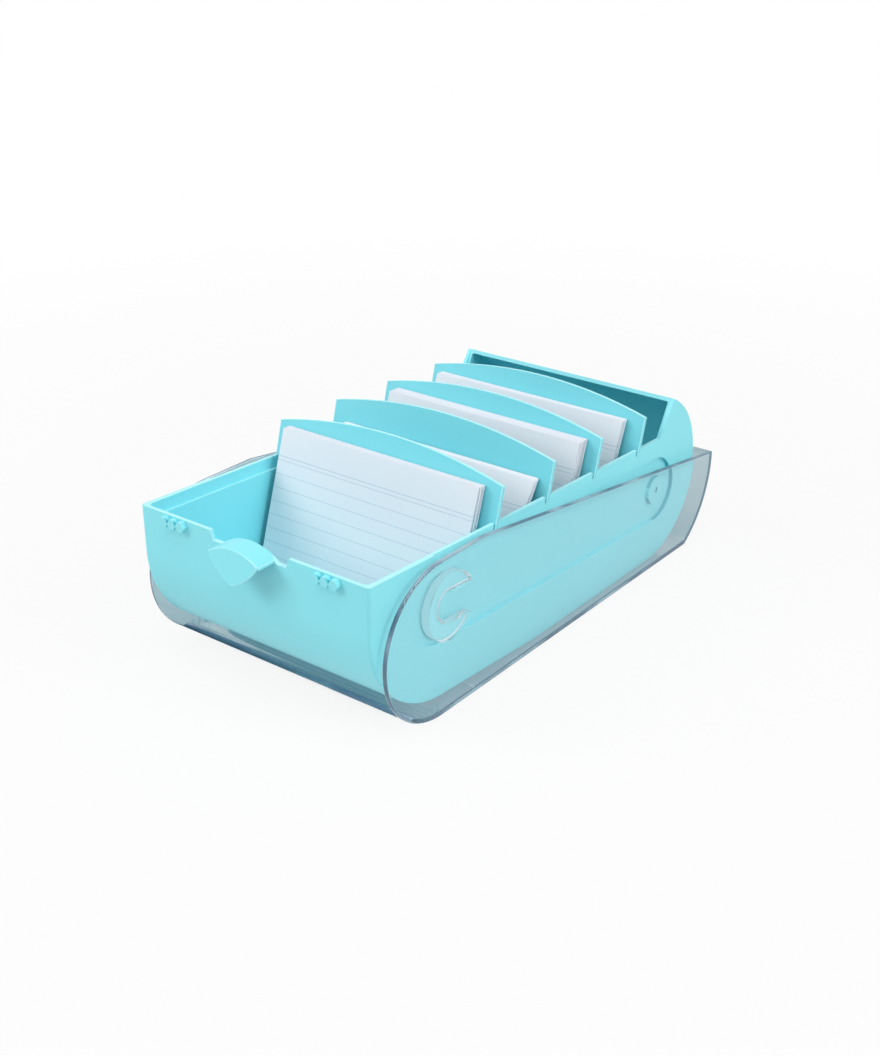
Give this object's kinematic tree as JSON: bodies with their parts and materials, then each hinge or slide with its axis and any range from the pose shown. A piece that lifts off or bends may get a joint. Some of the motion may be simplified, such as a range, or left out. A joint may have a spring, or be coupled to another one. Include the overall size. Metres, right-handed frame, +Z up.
{
  "type": "flashcard box",
  "caption": "Aqua desk box for small index cards: an open tray with loose arched dividers and ruled cards, standing in its clear stowed lid.",
  "frame": {"origin": "middle of the box's whole length and width, on the table under the lid's flat underside", "axes": "+X to the right seen from the front, +Y from the front wall with the pull tab to the rear, +Z up"},
  "size_m": [0.127, 0.2632, 0.0889],
  "materials": {
    "aqua_plastic": "satin moulded plastic, aqua",
    "clear_plastic": "clear moulded plastic",
    "card": "uncoated white card with pale ruling"
  },
  "bodies": {
    "lid_body": {"lid": "clear_plastic"},
    "tray_body": {"tray": "aqua_plastic"},
    "divider_body_1": {"divider_1": "aqua_plastic"},
    "stack_body_1": {"card_1_01": "card", "card_1_02": "card", "card_1_03": "card", "card_1_04": "card", "card_1_05": "card", "card_1_06": "card", "card_1_07": "card", "card_1_08": "card"},
    "front_card_body_1": {"card_1_09": "card"},
    "divider_body_2": {"divider_2": "aqua_plastic"},
    "stack_body_2": {"card_2_01": "card", "card_2_02": "card", "card_2_03": "card", "card_2_04": "card", "card_2_05": "card", "card_2_06": "card"},
    "front_card_body_2": {"card_2_07": "card"},
    "divider_body_3": {"divider_3": "aqua_plastic"},
    "stack_body_3": {"card_3_01": "card", "card_3_02": "card", "card_3_03": "card", "card_3_04": "card", "card_3_05": "card", "card_3_06": "card", "card_3_07": "card", "card_3_08": "card", "card_3_09": "card", "card_3_10": "card", "card_3_11": "card", "card_3_12": "card", "card_3_13": "card"},
    "front_card_body_3": {"card_3_14": "card"},
    "divider_body_4": {"divider_4": "aqua_plastic"},
    "stack_body_4": {"card_4_01": "card", "card_4_02": "card", "card_4_03": "card", "card_4_04": "card", "card_4_05": "card", "card_4_06": "card", "card_4_07": "card"},
    "front_card_body_4": {"card_4_08": "card"}
  },
  "joints": [
    {"name": "tray_slide", "type": "slide", "parent": "lid_body", "child": "tray_body", "axis": [0, -0.9987, 0.0506], "range_m": [-0.005, 0.1597]},
    {"name": "divider_lift_1", "type": "slide", "parent": "tray_body", "child": "divider_body_1", "axis": [0, 0.2672, 0.9636], "range_m": [0, 0.085]},
    {"name": "stack_lift_1", "type": "slide", "parent": "tray_body", "child": "stack_body_1", "axis": [0, 0.2672, 0.9636], "range_m": [0, 0.08]},
    {"name": "front_card_draw_1", "type": "slide", "parent": "stack_body_1", "child": "front_card_body_1", "axis": [0, 0.2672, 0.9636], "range_m": [0, 0.05]},
    {"name": "divider_lift_2", "type": "slide", "parent": "tray_body", "child": "divider_body_2", "axis": [0, 0.2672, 0.9636], "range_m": [0, 0.085]},
    {"name": "stack_lift_2", "type": "slide", "parent": "tray_body", "child": "stack_body_2", "axis": [0, 0.2672, 0.9636], "range_m": [0, 0.08]},
    {"name": "front_card_draw_2", "type": "slide", "parent": "stack_body_2", "child": "front_card_body_2", "axis": [0, 0.2672, 0.9636], "range_m": [0, 0.05]},
    {"name": "divider_lift_3", "type": "slide", "parent": "tray_body", "child": "divider_body_3", "axis": [0, 0.2672, 0.9636], "range_m": [0, 0.085]},
    {"name": "stack_lift_3", "type": "slide", "parent": "tray_body", "child": "stack_body_3", "axis": [0, 0.2672, 0.9636], "range_m": [0, 0.08]},
    {"name": "front_card_draw_3", "type": "slide", "parent": "stack_body_3", "child": "front_card_body_3", "axis": [0, 0.2672, 0.9636], "range_m": [0, 0.05]},
    {"name": "divider_lift_4", "type": "slide", "parent": "tray_body", "child": "divider_body_4", "axis": [0, 0.2672, 0.9636], "range_m": [0, 0.085]},
    {"name": "stack_lift_4", "type": "slide", "parent": "tray_body", "child": "stack_body_4", "axis": [0, 0.2672, 0.9636], "range_m": [0, 0.08]},
    {"name": "front_card_draw_4", "type": "slide", "parent": "stack_body_4", "child": "front_card_body_4", "axis": [0, 0.2672, 0.9636], "range_m": [0, 0.05]}
  ]
}
